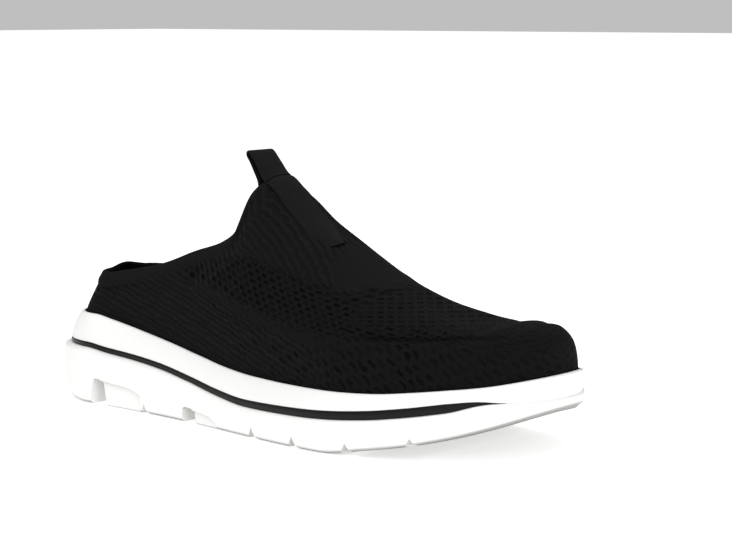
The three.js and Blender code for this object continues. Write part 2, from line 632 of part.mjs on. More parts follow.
const striped = spokes.filter((spoke) => wallLevels(spoke).present > 0.35);
const whole = new THREE.Group();
whole.name = 'slip_on_shoe';
const sole = soleGeometry();
sole.computeBoundingBox();
const centre = sole.boundingBox.getCenter(new THREE.Vector3());
function addPiece(name, geometry, color, roughness) {
  const flat = geometry.index ? geometry.toNonIndexed() : geometry;
  flat.translate(-centre.x, -centre.y, 0);
  flat.computeVertexNormals();
  const mesh = new THREE.Mesh(flat, new THREE.MeshStandardMaterial({ color, roughness }));
  mesh.name = name;
  whole.add(mesh);
}
addPiece('sole_unit', sole, 0xf4f3ef, 0.6);
addPiece('side_stripe', solidThrough(striped.map(stripeRing), false, always), 0x26262a, 0.5);
addPiece('upper', solidThrough(spokes.map(upperRing), true, upperJoins), 0x19191b, 0.9);
addPiece('insole', solidThrough(spokes.map(insoleRing), true, always), 0x2b2b2e, 0.85);
addPiece('pull_strap', solidThrough(strapRings(), false, always), 0x202022, 0.8);

export default whole;
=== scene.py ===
"""A right slip-on walking shoe: knitted upper, foam unit sole with a dark stripe, insole and
a tape with a pull loop. Lengths inside the sections are millimetres from the back of the
heel, +Y to the inner side; `placed` turns them into the part's own frame."""
import math

import bpy
import numpy as np
from mathutils import Matrix, Vector


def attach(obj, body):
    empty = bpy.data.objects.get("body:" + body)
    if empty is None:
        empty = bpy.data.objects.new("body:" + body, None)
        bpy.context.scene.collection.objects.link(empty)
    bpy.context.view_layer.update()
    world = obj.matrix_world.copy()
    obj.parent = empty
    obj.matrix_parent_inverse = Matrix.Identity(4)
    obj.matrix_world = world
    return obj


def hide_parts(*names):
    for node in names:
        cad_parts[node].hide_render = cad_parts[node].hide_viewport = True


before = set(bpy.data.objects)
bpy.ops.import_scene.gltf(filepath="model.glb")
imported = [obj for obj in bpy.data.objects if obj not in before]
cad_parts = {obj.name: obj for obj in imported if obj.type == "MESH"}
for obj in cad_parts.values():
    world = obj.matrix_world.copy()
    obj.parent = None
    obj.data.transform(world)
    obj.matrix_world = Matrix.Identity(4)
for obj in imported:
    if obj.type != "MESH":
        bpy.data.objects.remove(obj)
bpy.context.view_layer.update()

# Sole unit: one block of expanded EVA foam from a closed mould, white and matt with soft edges.
# A groove for the stripe runs round its side, and cuts cross the tread so that it bends.
LENGTH = 290.0
BALL = 104.0
HEEL_WALL = 42.0
HEEL_BED = 27.0
TOE_SPRING = 18.0
SEAT_INSET = 9.4
RIM_THICKNESS = 1.6
STRIPE_HEIGHT = 3.1
STRIPE_DEPTH = 1.8
STRIPE_END = 0.970
STRIPE_TAPER = 0.09
HEEL_BULGE = 3.6
EDGE_ROUND = 3.0
FIT = 0.45
SEAT_FIT = 0.75
LIP_ROUND = 1.7
RIM_ROUND = 0.9
HEEL_AXIS, TOE_AXIS, THROAT_FOOT = 0.138, 0.785, 0.575
HEEL_ROUNDNESS, TOE_ROUNDNESS = 2.05, 2.18
TOE_TURN_OUTER, TOE_TURN_INNER = 0.320, 0.276
ORIGIN = (LENGTH / 2, -1.45, 0.0)
# The plan is in shares of the ball's width, and the heights are shares of the sizes above.
PLAN = {
    "at":    [0.00, 0.14, 0.26, 0.38, 0.50, 0.60, 0.69, 0.76, 0.87, 1.00],
    "outer": [.360, .361, .375, .409, .471, .527, .558, .558, .558, .558],
    "inner": [.354, .356, .356, .343, .367, .405, .434, .438, .438, .438],
    "swing": [.000, .000, .000, .005, .014, .028, .043, .053, .068, .077],
}
HEIGHTS = {
    "at":     [0, .06, .12, .17, .24, .31, .38, .45, .52, .60, .69, .76, .83, .89, .94, 1.0],
    "lift":   [.48, .16, 0, 0, 0, 0, 0, 0, 0, 0, 0, .17, .37, .60, .85, 1.22],
    "rim":    [.993, 1.023, 1.024, .977, .899, .818, .732, .661, .627, .621, .628, .652, .701,
               .753, .799, .884],
    "stripe": [.666, .676, .678, .645, .614, .565, .487, .406, .361, .372, .400, .444, .511,
               .582, .641, .640],
    "band":   [.85, .85, .87, .90, .94, .97, 1.0, 1.06, 1.13, 1.20, 1.27, 1.32, 1.34, 1.34,
               1.34, 1.34],
    "bed":    [1, 1, .995, .975, .93, .86, .78, .70, .63, .59, .57, .58, .64, .73, .80, .87],
    "bulge":  [1, 1, .95, .90, .80, .70, .60, .55, .55, .55, .55, .50, .45, .40, .35, .30],
    "seat":   [.62, .66, .80, .93, 1, 1, .98, .95, .92, .88, .82, .74, .62, .49, .39, .31],
}
# Cuts across the tread: place and width as shares of the length, height in millimetres, and how
# square the top is.
CHANNELS = {
    "at":     [.157, .272, .381, .541, .634, .736, .838],
    "width":  [.036, .015, .031, .021, .021, .019, .017],
    "height": [12.8, 4.8, 7.4, 5.0, 5.0, 4.2, 3.6],
    "square": [.60, .15, .80, .15, .15, .15, .15],
}
# Forward of the two deepest cuts the side of the tread is set back, up to a falling edge.
SET_BACK = {
    "start": [.157, .381], "stop": [.262, .452], "near": [12.4, 6.8], "far": [10.4, 5.1],
    "depth": [1.7, 1.5],
}
SET_BACK_DROP = 2.2
SET_BACK_STATIONS = 9
BELOW_TREAD = 4


def curves(table):
    """Smooth curves through the columns of a table against its column `at`."""
    at = np.array(table["at"], float)

    def through(values):
        y = np.array(values, float)
        secant = np.diff(y) / np.diff(at)
        slope = np.concatenate([secant[:1], np.zeros(len(at) - 2), secant[-1:]])
        for k in range(1, len(at) - 1):
            if secant[k - 1] * secant[k] > 0:
                before = 2 * (at[k + 1] - at[k]) + (at[k] - at[k - 1])
                after = (at[k + 1] - at[k]) + 2 * (at[k] - at[k - 1])
                slope[k] = (before + after) / (before / secant[k - 1] + after / secant[k])

        def value(v):
            v = np.clip(v, at[0], at[-1])
            k = np.clip(np.searchsorted(at, v, side="right") - 1, 0, len(at) - 2)
            h = at[k + 1] - at[k]
            t = (v - at[k]) / h
            return ((1 + 2 * t) * (1 - t) ** 2 * y[k] + t * (1 - t) ** 2 * h * slope[k]
                    + t * t * (3 - 2 * t) * y[k + 1] + t * t * (t - 1) * h * slope[k + 1])
        return value
    return {name: through(column) for name, column in table.items() if name != "at"}


plan, heights = curves(PLAN), curves(HEIGHTS)


def ease(v):
    v = np.clip(v, 0, 1)
    return v * v * (3 - 2 * v)


def middle(x):
    return BALL * plan["swing"](x / LENGTH)


def half_width(side, x):
    share = np.clip(x / LENGTH, 0, 1)
    into_heel = np.clip(1 - share / HEEL_AXIS, 0, 1)
    reach = np.where(side < 0, TOE_TURN_OUTER, TOE_TURN_INNER)
    into_toe = np.clip((share - 1 + reach) / reach, 0, 1)
    widest = np.where(side < 0, plan["outer"](share), plan["inner"](share))
    return (BALL * widest * (1 - into_heel ** HEEL_ROUNDNESS) ** (1 / HEEL_ROUNDNESS)
            * (1 - into_toe ** TOE_ROUNDNESS) ** (1 / TOE_ROUNDNESS))


def underside(x):
    return TOE_SPRING * heights["lift"](x / LENGTH)


def bed_height(x):
    return HEEL_BED * heights["bed"](x / LENGTH)


def seat_inset(x):
    return SEAT_INSET * heights["seat"](x / LENGTH)


class Spokes:
    """Upright planes that fan round the toe and heel and cross the sides square."""

    def __init__(self, toe, vamp, quarter, heel):
        half = [(1, TOE_AXIS, k / toe) for k in range(toe)]
        half += [(0, TOE_AXIS + (THROAT_FOOT - TOE_AXIS) * k / vamp, 1) for k in range(vamp)]
        half += [(0, THROAT_FOOT + (HEEL_AXIS - THROAT_FOOT) * k / quarter, 1)
                 for k in range(quarter + 1)]
        half += [(-1, HEEL_AXIS, 1 - k / heel) for k in range(1, heel + 1)]
        rows = [(*h, -1) for h in half] + [(*h, 1) for h in reversed(half[1:-1])]
        self.zone, self.axis, self.turn, self.side = (
            np.array(column, float)[:, None] for column in zip(*rows))
        self.x0 = self.axis * LENGTH
        self.y0 = middle(self.x0)
        self.dx = self.zone * np.cos(self.turn * np.pi / 2)
        self.dy = self.side * np.sin(self.turn * np.pi / 2)
        self.reach = np.zeros_like(self.x0)
        far = np.full_like(self.x0, LENGTH)
        for _ in range(40):
            mid = (self.reach + far) / 2
            x = self.x0 + mid * self.dx
            across = self.side * (self.y0 + mid * self.dy - middle(x))
            inside = (x > 0) & (x < LENGTH) & (across < half_width(self.side, x))
            self.reach, far = np.where(inside, mid, self.reach), np.where(inside, far, mid)

    def at(self, r, z):
        return np.stack(np.broadcast_arrays(self.x0 + r * self.dx, self.y0 + r * self.dy, z), -1)


def placed(points):
    return (np.asarray(points, float).reshape(-1, 3) - ORIGIN) / 1000


def mesh_object(name, points, faces):
    """A smooth-shaded object from points in millimetres; points that coincide are joined."""
    weld = 1e-6
    points = placed(points)
    _, first, index = np.unique(np.round(points / weld).astype(np.int64), axis=0,
                                return_index=True, return_inverse=True)
    index = index.ravel()
    loops = []
    for face in faces:
        ids = list(dict.fromkeys(int(index[i]) for i in face))
        if len(ids) > 2:
            loops.append(ids)
    data = bpy.data.meshes.new(name)
    data.from_pydata(points[first].tolist(), [], loops)
    data.validate()
    data.polygons.foreach_set("use_smooth", [True] * len(data.polygons))
    piece = bpy.data.objects.new(name, data)
    bpy.context.scene.collection.objects.link(piece)
    return piece, first


def strips(count, rows, wraps=True, flip=False):
    """Quads of a grid of `rows` points on each of `count` spokes."""
    faces = []
    for k in range(count if wraps else count - 1):
        a, b = k * rows, ((k + 1) % count) * rows
        for j in range(rows - 1):
            quad = (a + j, a + j + 1, b + j + 1, b + j)
            faces.append(quad[::-1] if flip else quad)
    return faces


# The last is the foot form that the shoe is built on. The seat of the sole is cut to it, and the
# insole and the upper lie on it. Its columns are the height of its ridge and the ridge's place
# across, and how steeply a section leaves the foot edge and how full it stays.
LAST = {
    "at":    [0, .07, .14, .26, .36, .45, .49, .53, .57, .62, .68, .76, .85, .93, 1.0],
    "top":   [.910, .920, .930, .960, .985, 1.0, .930, .840, .770, .688, .601, .524, .489,
              .524, .575],
    "ridge": [0, 0, 0, .004, .016, .029, .048, .067, .085, .096, .096, .088, .080, .075, .072],
    "rise":  [1.42, 1.50, 1.60, 1.50, 1.40, 1.38, 1.36, 1.40, 1.49, 1.65, 1.90, 2.40, 2.95,
              3.65, 4.80],
    "full":  [0.48, 0.54, 1.15, 2.20, 2.80, 3.00, 3.05, 3.00, 2.96, 2.92, 3.05, 3.60, 3.90,
              3.20, 3.65],
}
INSTEP = 112.5
last = curves(LAST)


def ridge_height(x):
    return INSTEP * last["top"](x / LENGTH)


def ridge_across(x):
    return BALL * last["ridge"](x / LENGTH)


def last_point(spokes, girth, x, depth):
    """Points of the last, `depth` below its surface, at a girth from foot edge 0 to ridge 1."""
    turning = spokes.zone != 0
    tip = np.where(spokes.zone > 0, 1, 0)
    share = np.where(turning, tip + (spokes.axis - tip) * ease(spokes.turn), x / LENGTH)
    out = np.clip(np.cos(girth * np.pi / 2), 0, 1) ** (2 / last["full"](share))
    up = np.sin(girth * np.pi / 2) ** (2 / last["rise"](share))
    edge = spokes.x0 + spokes.reach * spokes.dx
    reach = spokes.reach - seat_inset(edge) - depth
    foot = bed_height(np.where(turning, spokes.x0 + reach * spokes.dx, x)) + FIT
    top_x = np.where(spokes.zone > 0, spokes.x0 + reach * out * spokes.dx,
                     np.where(turning, spokes.x0, x))
    z = foot + (ridge_height(top_x) - depth - foot) * up
    turned = (spokes.y0 + reach * out * spokes.dy
              + (ridge_across(spokes.x0) - spokes.y0) * (1 - out))
    foot_across = middle(x) + spokes.side * (half_width(spokes.side, x) - seat_inset(x) - depth)
    across = ridge_across(x) + (foot_across - ridge_across(x)) * out
    return np.stack(np.broadcast_arrays(
        np.where(turning, spokes.x0 + reach * out * spokes.dx, x),
        np.where(turning, turned, across), z), -1)


def girth_at(spokes, height, x, depth):
    low, high = np.zeros_like(spokes.x0), np.ones_like(spokes.x0)
    for _ in range(30):
        mid = (low + high) / 2
        below = last_point(spokes, mid, x, depth)[..., 2] < height
        low, high = np.where(below, mid, low), np.where(below, high, mid)
    return (low + high) / 2


def last_at(spokes, height, depth):
    return last_point(spokes, girth_at(spokes, height, spokes.x0, depth), spokes.x0, depth)


def sole_levels(spokes):
    x = spokes.x0 + spokes.reach * spokes.dx
    present = ease((STRIPE_END * LENGTH - x) / (STRIPE_TAPER * LENGTH))
    mid = HEEL_WALL * heights["stripe"](x / LENGTH)
    bulge = HEEL_BULGE * heights["bulge"](x / LENGTH)
    half = present * STRIPE_HEIGHT * heights["band"](x / LENGTH) / 2
    return {"present": present, "floor": underside(x),
            "rim": HEEL_WALL * heights["rim"](x / LENGTH), "low": mid - half, "high": mid + half,
            "bulge": bulge, "grooved": bulge + present * STRIPE_DEPTH}


def sole_rings(spokes):
    level = sole_levels(spokes)

    def wall(inset, z):
        return spokes.at(spokes.reach - inset, z)

    def tread(share):
        r = spokes.reach * share if share < 1 else spokes.reach - 1.25 * EDGE_ROUND
        return spokes.at(r, underside(spokes.x0 + r * spokes.dx))

    seat_rim = last_at(spokes, level["rim"], -SEAT_FIT)
    seat_foot = last_point(spokes, np.zeros_like(spokes.x0), spokes.x0, -FIT)
    seat_foot[..., 2] -= FIT
    centre = np.hypot(seat_rim[..., 0] - spokes.x0, seat_rim[..., 1] - spokes.y0)
    rim = spokes.reach - centre - RIM_THICKNESS
    rows = [tread(0.02), tread(0.5), tread(1)]
    for turn in (0.25, 0.5, 0.75):
        bend = turn * np.pi / 2
        rows.append(wall(EDGE_ROUND * (1.15 - 1.1 * np.sin(bend)),
                         level["floor"] + EDGE_ROUND * (1 - np.cos(bend))))
    top = level["low"] - LIP_ROUND
    lower = level["floor"] + EDGE_ROUND
    for share in (0.0, 0.3, 0.6, 0.85):
        rows.append(wall(0.05 * EDGE_ROUND * (1 - share), lower + (top - lower) * share))
    for turn in (0.2, 0.45, 0.7, 0.9, 1.0):
        bend = turn * np.pi / 2
        rows.append(wall(0.9 * level["bulge"] * (1 - np.cos(bend)),
                         top + LIP_ROUND * np.sin(bend)))
    rows += [wall(level["grooved"], level["low"]), wall(level["grooved"], level["high"]),
             wall(level["bulge"] - 0.1, level["high"])]
    for share in (0.12, 0.3, 0.5, 0.7, 0.86):
        inset = level["bulge"] + (rim - level["bulge"]) * share ** 1.6
        rows.append(wall(inset, level["high"] + (level["rim"] - level["high"]) * share))
    for turn in (0.3, 0.65, 1.0):
        bend = turn * np.pi / 2
        rows.append(wall(rim - 0.3 + RIM_ROUND * (1 - np.cos(bend)),
                         level["rim"] - RIM_ROUND * (1 - np.sin(bend))))
    seat_mid = last_at(spokes, (level["rim"] + seat_foot[..., 2]) / 2, -SEAT_FIT)
    rows += [seat_rim, seat_mid, seat_foot]
    hub = spokes.at(0.0, 0.0)
    for share in (0.6, 0.02):
        p = hub + (seat_foot - hub) * share
        p[..., 2] = bed_height(p[..., 0])
        rows.append(p)
    return np.concatenate(rows, axis=1)


fine = Spokes(30, 52, 62, 26)
rings = sole_rings(fine)
count, rows = rings.shape[:2]
faces = strips(count, rows)
faces.append([k * rows for k in range(count)][::-1])
faces.append([k * rows + rows - 1 for k in range(count)])
sole, _ = mesh_object("sole_foam", rings, faces)

tools = []
for k, at in enumerate(CHANNELS["at"]):
    x, half = at * LENGTH, CHANNELS["width"][k] * LENGTH / 2
    height, square = CHANNELS["height"][k], CHANNELS["square"][k]
    tread_z = float(underside(x))
    fore_half = [(1, -3), (1, 0), (0.35 + 0.65 * square, 0.55 * height), (square, 0.86 * height),
                 (0.8 * square, 0.96 * height), (0.5 * square, height)]
    outline = fore_half + [(-a, z) for a, z in reversed(fore_half)]
    ends = [[(x + half * a, y, tread_z + z) for a, z in outline] for y in (-BALL, BALL)]
    n = len(outline)
    sides = [(j, (j + 1) % n, n + (j + 1) % n, n + j) for j in range(n)]
    caps = [list(range(n))[::-1], list(range(n, 2 * n))]
    tools.append(mesh_object("cutter", ends[0] + ends[1], sides + caps)[0])
for k, start in enumerate(SET_BACK["start"]):
    for side in (-1, 1):
        xs = np.linspace(start * LENGTH, SET_BACK["stop"][k] * LENGTH, SET_BACK_STATIONS)
        wall_y = middle(xs) + side * (half_width(side, xs) - SET_BACK["depth"][k])
        top = np.interp(xs, xs[[0, -1]], [SET_BACK["near"][k], SET_BACK["far"][k]])
        top -= SET_BACK_DROP * ease((xs - xs[-3]) / (xs[-1] - xs[-3]))
        clear_y, bottom = np.full_like(xs, side * BALL), np.full_like(xs, -BELOW_TREAD)
        section = [np.stack([xs, wall_y, top], 1), np.stack([xs, clear_y, top], 1),
                   np.stack([xs, clear_y, bottom], 1), np.stack([xs, wall_y, bottom], 1)]
        points = np.stack(section, 1).reshape(-1, 3)
        faces = [(4 * j + i, 4 * j + (i + 1) % 4, 4 * j + 4 + (i + 1) % 4, 4 * j + 4 + i)
                 for j in range(SET_BACK_STATIONS - 1) for i in range(4)]
        faces += [(3, 2, 1, 0), range(len(points) - 4, len(points))]
        tools.append(mesh_object("cutter", points, faces)[0])
for tool in tools:
    bpy.context.view_layer.objects.active = tool
    bpy.ops.object.select_all(action="DESELECT")
    tool.select_set(True)
    bpy.ops.object.mode_set(mode="EDIT")
    bpy.ops.mesh.select_all(action="SELECT")
    bpy.ops.mesh.normals_make_consistent(inside=False)
    bpy.ops.object.mode_set(mode="OBJECT")
    cut = sole.modifiers.new("cut", "BOOLEAN")
    cut.operation, cut.object, cut.solver = "DIFFERENCE", tool, "EXACT"


def bake_modifiers(piece, sharp_degrees):
    """Replaces a piece's mesh by its evaluated one and keeps edges above an angle sharp."""
    depsgraph = bpy.context.evaluated_depsgraph_get()
    data = bpy.data.meshes.new_from_object(piece.evaluated_get(depsgraph))
    piece.modifiers.clear()
    piece.data = data
    data.polygons.foreach_set("use_smooth", [True] * len(data.polygons))
    data.set_sharp_from_angle(angle=math.radians(sharp_degrees))


bake_modifiers(sole, sharp_degrees=34)
for tool in tools:
    bpy.data.objects.remove(tool)


def linear(hex_colour):
    """sRGB hex to the linear colour that the shaders use."""
    parts = [int(hex_colour[i:i + 2], 16) / 255 for i in (1, 3, 5)]
    parts = [c / 12.92 if c <= 0.04045 else ((c + 0.055) / 1.055) ** 2.4 for c in parts]
    return (*parts, 1.0)


def add_node(material, kind, links=(), **settings):
    """Adds a shader node; links are (input, output socket or plain value) pairs."""
    node = material.node_tree.nodes.new(kind)
    for name, value in settings.items():
        setattr(node, name, value)
    for name, value in links:
        if isinstance(value, bpy.types.NodeSocket):
            material.node_tree.links.new(value, node.inputs[name])
        else:
            node.inputs[name].default_value = value
    return node


def new_material(name, **values):
    """A material with one Principled shader whose plain values are set on its own sockets."""
    material = bpy.data.materials.new(name)
    material.use_nodes = True
    shader = material.node_tree.nodes["Principled BSDF"]
    for socket, value in values.items():
        shader.inputs[socket.replace("_", " ")].default_value = value
    return material, shader


# Moulded EVA foam: a matt skin with the mould's fine grain, edges softened by the mould. The
# grain, about a third of a millimetre, is too fine to make out and only softens the light.
# The second colour is the grey of a painted shade on faces that turn down.
white, downward_shade_grey = linear("#e5e5e3"), linear("#6f6f6c")
foam, shader = new_material("eva_foam_moulded_white", Base_Color=white, Roughness=0.52, IOR=1.48)
grain = add_node(foam, "ShaderNodeTexNoise", [("Scale", 900.0), ("Detail", 3.0)])
foam_edge = add_node(foam, "ShaderNodeBevel", [("Radius", 0.0009)], samples=6)
bump = add_node(foam, "ShaderNodeBump", [("Strength", 0.10), ("Distance", 0.0002),
                                         ("Height", grain.outputs["Fac"]),
                                         ("Normal", foam_edge.outputs["Normal"])])
foam.node_tree.links.new(bump.outputs["Normal"], shader.inputs["Normal"])
# Painted shade: faces that turn down, the tread and the rounded bottom edge, are mixed towards
# grey, which shows as a dark line along the bottom edge.
normal = add_node(foam, "ShaderNodeNewGeometry").outputs["Normal"]
facing = add_node(foam, "ShaderNodeSeparateXYZ", [("Vector", normal)]).outputs["Z"]
facing_down_shade = add_node(foam, "ShaderNodeMapRange", [("Value", facing), ("From Min", -0.3),
                                             ("From Max", -0.9), ("To Min", 0.0), ("To Max", 1.0)])
tint = add_node(foam, "ShaderNodeMix", [("Factor", facing_down_shade.outputs["Result"]), ("A", white),
                                        ("B", downward_shade_grey)], data_type="RGBA")
foam.node_tree.links.new(tint.outputs["Result"], shader.inputs["Base Color"])
sole.data.materials.clear()
sole.data.materials.append(foam)
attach(sole, "root")
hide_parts("sole_unit")

# Side stripe: a thin moulded band of dark rubber, glued into the groove of the foam. It runs round
# the heel and ends in a point on each side, short of the toe.
BAND_PLAY = 0.25
BAND_BACKING = 0.2
level = sole_levels(fine)
kept = np.where(level["present"][:, 0] > 0.03)[0]
breaks = np.where(np.diff(kept) > 1)[0]
start = int(breaks[0]) + 1 if len(breaks) else 0
kept = np.concatenate([kept[start:], kept[:start]])
thin = BAND_PLAY * level["present"]
deep = level["grooved"] - BAND_BACKING
face = level["bulge"] - 0.1 * level["present"] * STRIPE_DEPTH
# The section of the band as inset and height, from the back of the groove round its face.
profile = [(deep, level["low"] + thin), (face + 0.15, level["low"] + thin),
           (face, level["low"] + 2.4 * thin), (face - 0.05, (level["low"] + level["high"]) / 2),
           (face, level["high"] - 2.4 * thin), (face + 0.15, level["high"] - thin),
           (deep, level["high"] - thin), (deep, level["low"] + thin)]
band = np.concatenate([fine.at(fine.reach - inset, z) for inset, z in profile], axis=1)[kept]
count, rows = band.shape[:2]
faces = strips(count, rows, wraps=False)
faces += [list(range(rows - 1))[::-1], [(count - 1) * rows + j for j in range(rows - 1)]]
stripe, _ = mesh_object("stripe_band", band, faces)
bake_modifiers(stripe, sharp_degrees=50)
# Dark rubber: smooth, with a soft shine along its rounded face.
rubber, _ = new_material("rubber_moulded_dark", Base_Color=linear("#0b0b0c"), Roughness=0.38,
                         IOR=1.50, Specular_IOR_Level=0.16)
stripe.data.materials.append(rubber)
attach(stripe, "root")
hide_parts("side_stripe")

# Insole: a moulded foam footbed with a brushed textile glued on top, laid loose on the bed of
# the sole inside the upper. Its edge curls up a little along the wall.
KNIT_WALL = 2.4
INSOLE = 4.5
depth = KNIT_WALL + FIT
foot = last_point(fine, np.zeros_like(fine.x0), fine.x0, depth)
curl = INSOLE * (0.2 + 0.6 * ease(1 - foot[..., 0] / (0.5 * LENGTH)))
hub = fine.at(0.0, 0.0)


def on_sheet(share, rise):
    p = hub + (foot - hub) * share
    p[..., 2] = bed_height(p[..., 0]) + FIT + rise
    return p


rings = np.concatenate([on_sheet(0.02, 0), on_sheet(0.6, 0), foot,
                        last_at(fine, foot[..., 2] + INSOLE + curl, depth),
                        on_sheet(0.95, INSOLE + 0.5 * curl), on_sheet(0.88, INSOLE + 0.12 * curl),
                        on_sheet(0.6, INSOLE), on_sheet(0.3, INSOLE), on_sheet(0.02, INSOLE)],
                       axis=1)
count, rows = rings.shape[:2]
faces = strips(count, rows)
faces += [[k * rows for k in range(count)][::-1], [k * rows + rows - 1 for k in range(count)]]
insole, _ = mesh_object("insole_sheet", rings, faces)
bake_modifiers(insole, sharp_degrees=40)
# Brushed polyester lining: dull, with a short nap that catches a little light.
lining, _ = new_material("polyester_lining_brushed", Base_Color=linear("#161617"),
                         Roughness=0.95, Sheen_Weight=0.02, Specular_IOR_Level=0.1)
insole.data.materials.append(lining)
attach(insole, "root")
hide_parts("insole")

# Upper: one sock-like piece of flat-knitted polyester pulled over the last: long wavy ribs along
# the side, a belt of open eyelets, slits at the toe and a padded rolled top edge.
COLLAR_WALL = 4.2
COLLAR_BAND = 7.0
BAND_STEP = 0.6
PADDING = 0.8
ROLL_RISE = 0.5
HEEL_RIM = 65.0
HEEL_LEAN = 1.8
HEEL_SWELL = 0.6
TOPLINE = {
    "at":     [0, .08, .16, .26, .36, .48, .62, .78, 1.0],
    "run":    [.452, .445, .439, .436, .431, .402, .340, .262, .138],
    "height": [1.0, .93, .82, .66, .50, .37, .25, .085, -.07],
}
topline = curves(TOPLINE)
back = (THROAT_FOOT - fine.axis) / (THROAT_FOOT - HEEL_AXIS)
throat_x = float(topline["run"](0)) * LENGTH


def topline_height(b):
    return HEEL_RIM + (float(ridge_height(throat_x)) - HEEL_RIM) * topline["height"](b)


on_vamp = (fine.zone == 0) & (back < -1e-6)
closed = (fine.zone > 0) | on_vamp
forward = np.clip((fine.axis - THROAT_FOOT) / (TOE_AXIS - THROAT_FOOT), 0, 1) ** 1.35
ridge_x = throat_x + COLLAR_BAND + (TOE_AXIS * LENGTH - throat_x - COLLAR_BAND) * forward
end_x = np.where(fine.zone != 0, fine.x0,
                 np.where(on_vamp, ridge_x, topline["run"](np.clip(back, 0, 1)) * LENGTH))
heel_start_z = topline_height(1)
rim_z = np.where(fine.zone < 0,
                 heel_start_z + (HEEL_RIM - heel_start_z) * ease(1 - fine.turn),
                 topline_height(np.clip(back, 0, 1)))
end_girth = np.where(closed | (np.abs(back) < 1e-6) & (fine.zone == 0), 1.0,
                     girth_at(fine, rim_z, end_x, 0))


def up_wall(t, depth):
    return last_point(fine, end_girth * t, fine.x0 + (end_x - fine.x0) * t ** 1.5, depth)


WALL_ROWS, BAND_ROWS, ROLL_ROWS, LINING_ROWS = 58, 8, 7, 24
t_fine = np.linspace(0, 1, 101)[None, :]
lengths = np.linalg.norm(np.diff(up_wall(t_fine, 0), axis=1), axis=2)
lengths = np.concatenate([np.zeros((len(lengths), 1)), np.cumsum(lengths, axis=1)], axis=1)


def t_at(wanted):
    return np.stack([np.interp(w, l, t_fine[0]) for w, l in zip(wanted, lengths)])


total = lengths[:, -1:]
wall_top = total - np.where(closed, 0, COLLAR_BAND)
wall_t = t_at(wall_top * np.linspace(0, 1, WALL_ROWS)[None, :])
band_share = np.linspace(0, 1, BAND_ROWS + 1)[None, 1:]
band_t = t_at(wall_top + (total - wall_top) * band_share)
outer_wall = up_wall(wall_t, 0)
# Soft creases, listed where the knit gives: (x, z) of both ends, width and depth.
CREASES = [
    (246, 40, 256, 58, 3.4, .50), (262, 34, 270, 54, 3.0, .55), (272, 36, 276, 50, 2.4, .40),
    (196, 66, 226, 60, 3.6, .45), (168, 78, 186, 71, 3.2, .40), (150, 62, 200, 50, 4.0, .35),
    (60, 62, 78, 55, 3.0, .45), (44, 56, 66, 47, 2.8, .40), (96, 52, 128, 44, 3.4, .35),
    (104, 80, 122, 88, 3.0, .45),
]
dent = np.zeros(outer_wall.shape[:2])
for x0, z0, x1, z1, width, deep in CREASES:
    run = np.array([x1 - x0, z1 - z0], float)
    off = outer_wall[..., [0, 2]] - (x0, z0)
    along = np.clip(off @ run / (run @ run), 0, 1)
    far = np.linalg.norm(off - along[..., None] * run, axis=-1)
    dent += deep * np.exp(-(far / width) ** 2)
    dent -= 0.5 * deep * np.exp(-((far - 1.7 * width) / width) ** 2)
# Nothing pads the back of the heel, so the wall runs straight up there, a little fuller at mid
# height, and leans in on top.
at_heel = ease(1.4 * np.where(fine.zone < 0, 1 - fine.turn, 0))
lean = HEEL_LEAN * at_heel
wall_z = outer_wall[..., 2]
upright = at_heel * (HEEL_LEAN * ease((wall_z - 50) / 12)
                     - HEEL_SWELL * np.exp(-((wall_z - 47) / 4) ** 2))
outer_wall = up_wall(wall_t, dent * ease(wall_t / 0.15) * ease((1 - wall_t) / 0.4) + upright)
padding = PADDING * (1 - at_heel) * ease(back / 0.12) * np.sin(np.pi * band_share) ** 1.5
band_step = BAND_STEP * (1 - 0.7 * at_heel)
band_lift = np.where(closed, 0, band_step * ease(band_share * 2.0) + padding)
outer_band = up_wall(band_t, lean - band_lift)
lining_t = t_at(wall_top * np.linspace(1, 0, LINING_ROWS)[None, :])
inner_wall = up_wall(lining_t, KNIT_WALL)
outer_edge = up_wall(np.ones_like(fine.x0), lean - band_step)
inner_edge = up_wall(np.ones_like(fine.x0), COLLAR_WALL)
upwards = up_wall(np.ones_like(fine.x0), 0) - up_wall(np.full_like(fine.x0, 0.97), 0)
upwards /= np.maximum(np.linalg.norm(upwards, axis=2, keepdims=True), 1e-9)
upwards = np.where((end_girth > 1 - 1e-9)[..., None], [-1.0, 0, 0], upwards)
# The top edge rolls over from its outer edge to its inner one in a half round.
roll = []
for k in range(1, ROLL_ROWS + 1):
    bend = np.pi * k / (ROLL_ROWS + 1)
    share = (1 - np.cos(bend)) / 2
    roll.append(outer_edge + (inner_edge - outer_edge) * share
                + upwards * ROLL_RISE * COLLAR_WALL * np.sin(bend))
roll = np.concatenate(roll, axis=1)
roll = np.where(closed[..., None], outer_wall[:, -1:], roll)
inner_edge = np.where(closed[..., None], inner_wall[:, :1], inner_edge)
rings = np.concatenate([outer_wall, outer_band, roll, inner_edge, inner_wall,
                        outer_wall[:, :1]], axis=1)
count, rows = rings.shape[:2]
is_open = ~closed[:, 0]
roll_first, roll_last = WALL_ROWS + BAND_ROWS - 1, WALL_ROWS + BAND_ROWS + ROLL_ROWS
faces = []
for k in range(count):
    a, b = k * rows, ((k + 1) % count) * rows
    both_open = is_open[k] and is_open[(k + 1) % count]
    for j in range(rows - 1):
        if both_open or j < roll_first or j >= roll_last:
            faces.append((a + j, a + j + 1, b + j + 1, b + j))
upper, source = mesh_object("knit_upper", rings, faces)

